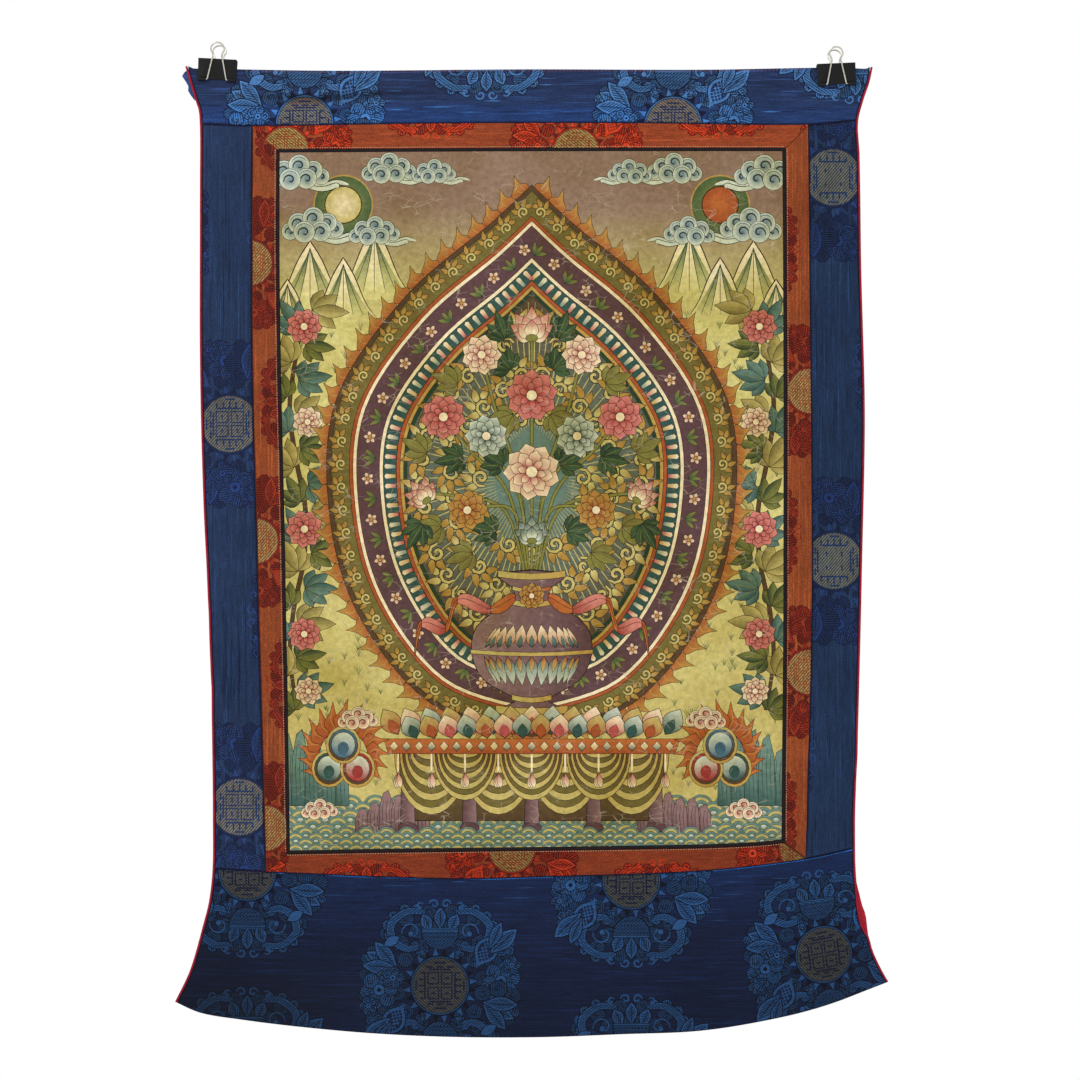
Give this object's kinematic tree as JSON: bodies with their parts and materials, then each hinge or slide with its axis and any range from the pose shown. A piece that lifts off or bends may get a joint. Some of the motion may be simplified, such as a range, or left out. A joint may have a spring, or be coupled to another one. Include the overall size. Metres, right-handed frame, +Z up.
{
  "type": "thangka scroll painting with binder clips",
  "caption": "Painted cloth scroll in a mitred brocade mount with a flared lower panel, an empty rod pocket and a cloth lining, hung by spring clips with wire loops.",
  "frame": {"origin": "midway between the places where the two clips' wire loops hang on their hooks", "axes": "+Z up along the height of the scroll, +X across its width to the viewer's right, -Y towards the viewer"},
  "size_m": [0.604, 0.049, 0.8334],
  "materials": {
    "canvas": "matte",
    "black_silk": "satin",
    "orange_brocade": "satin",
    "blue_brocade": "satin",
    "red_silk": "satin",
    "black_steel": "satin",
    "wire_steel": "bright"
  },
  "bodies": {
    "root": {"painting_canvas": "canvas", "piping_top": "black_silk", "piping_bottom": "black_silk", "piping_left": "black_silk", "piping_right": "black_silk", "border_top": "orange_brocade", "border_bottom": "orange_brocade", "border_left": "orange_brocade", "border_right": "orange_brocade", "brocade_top": "blue_brocade", "brocade_left": "blue_brocade", "brocade_right": "blue_brocade", "brocade_bottom": "blue_brocade", "edge_binding_left": "red_silk", "edge_binding_right": "red_silk", "lining": "red_silk", "clip_left_body": "black_steel", "clip_right_body": "black_steel", "clip_left_handle_front": "wire_steel", "clip_left_handle_back": "wire_steel", "clip_right_handle_front": "wire_steel", "clip_right_handle_back": "wire_steel"}
  },
  "joints": []
}
